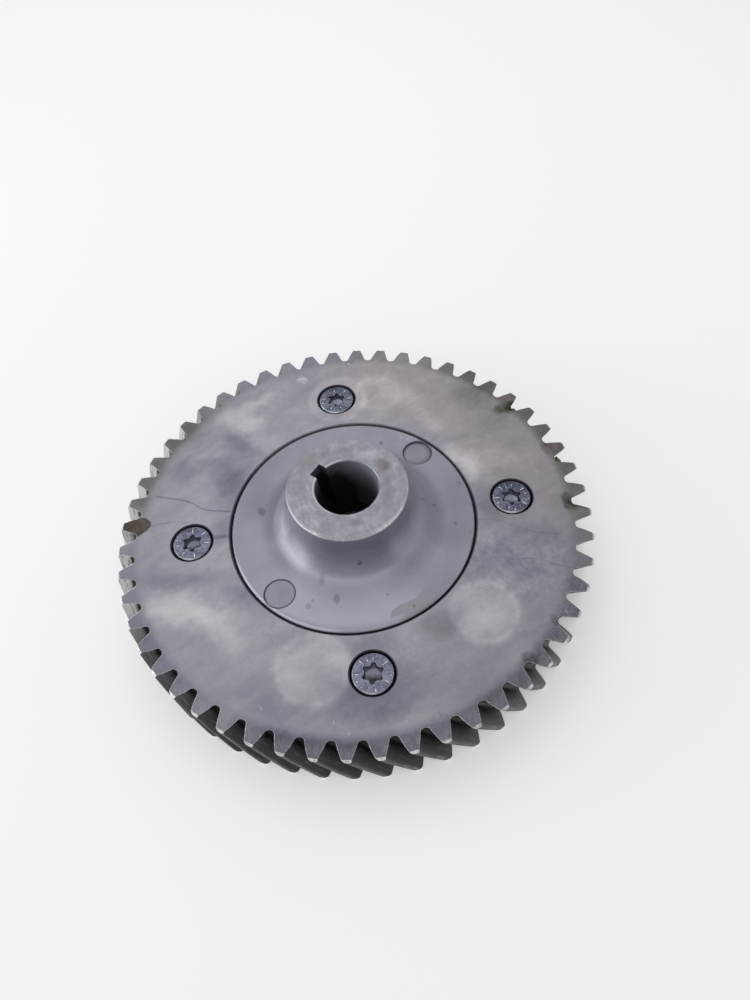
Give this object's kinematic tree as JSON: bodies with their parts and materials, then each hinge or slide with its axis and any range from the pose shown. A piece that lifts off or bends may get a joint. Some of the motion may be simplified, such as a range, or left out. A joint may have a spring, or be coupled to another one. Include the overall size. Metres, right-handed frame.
{
  "type": "injection pump gear",
  "caption": "Helical gear ring screwed to a turned hub with a flat disc, concave foot and round boss, with a tapered keyed bore, star-recess countersunk screws and flush dowel pins.",
  "frame": {"origin": "on the gear's axis, in the plane of the back face that the gear lies on", "axes": "+Z along the axis towards the boss; the screws stand on +X, +Y, -X and -Y"},
  "size_m": [0.1932, 0.1932, 0.0475],
  "materials": {
    "gear_steel": "ground, oil-stained",
    "hub_steel": "satin, turned",
    "screw_steel": "blued",
    "pin_steel": "ground"
  },
  "bodies": {
    "root": {"gear_ring": "gear_steel", "hub": "hub_steel", "countersunk_screw_1": "screw_steel", "countersunk_screw_2": "screw_steel", "countersunk_screw_3": "screw_steel", "countersunk_screw_4": "screw_steel", "dowel_pin_1": "pin_steel", "dowel_pin_2": "pin_steel"}
  },
  "joints": []
}
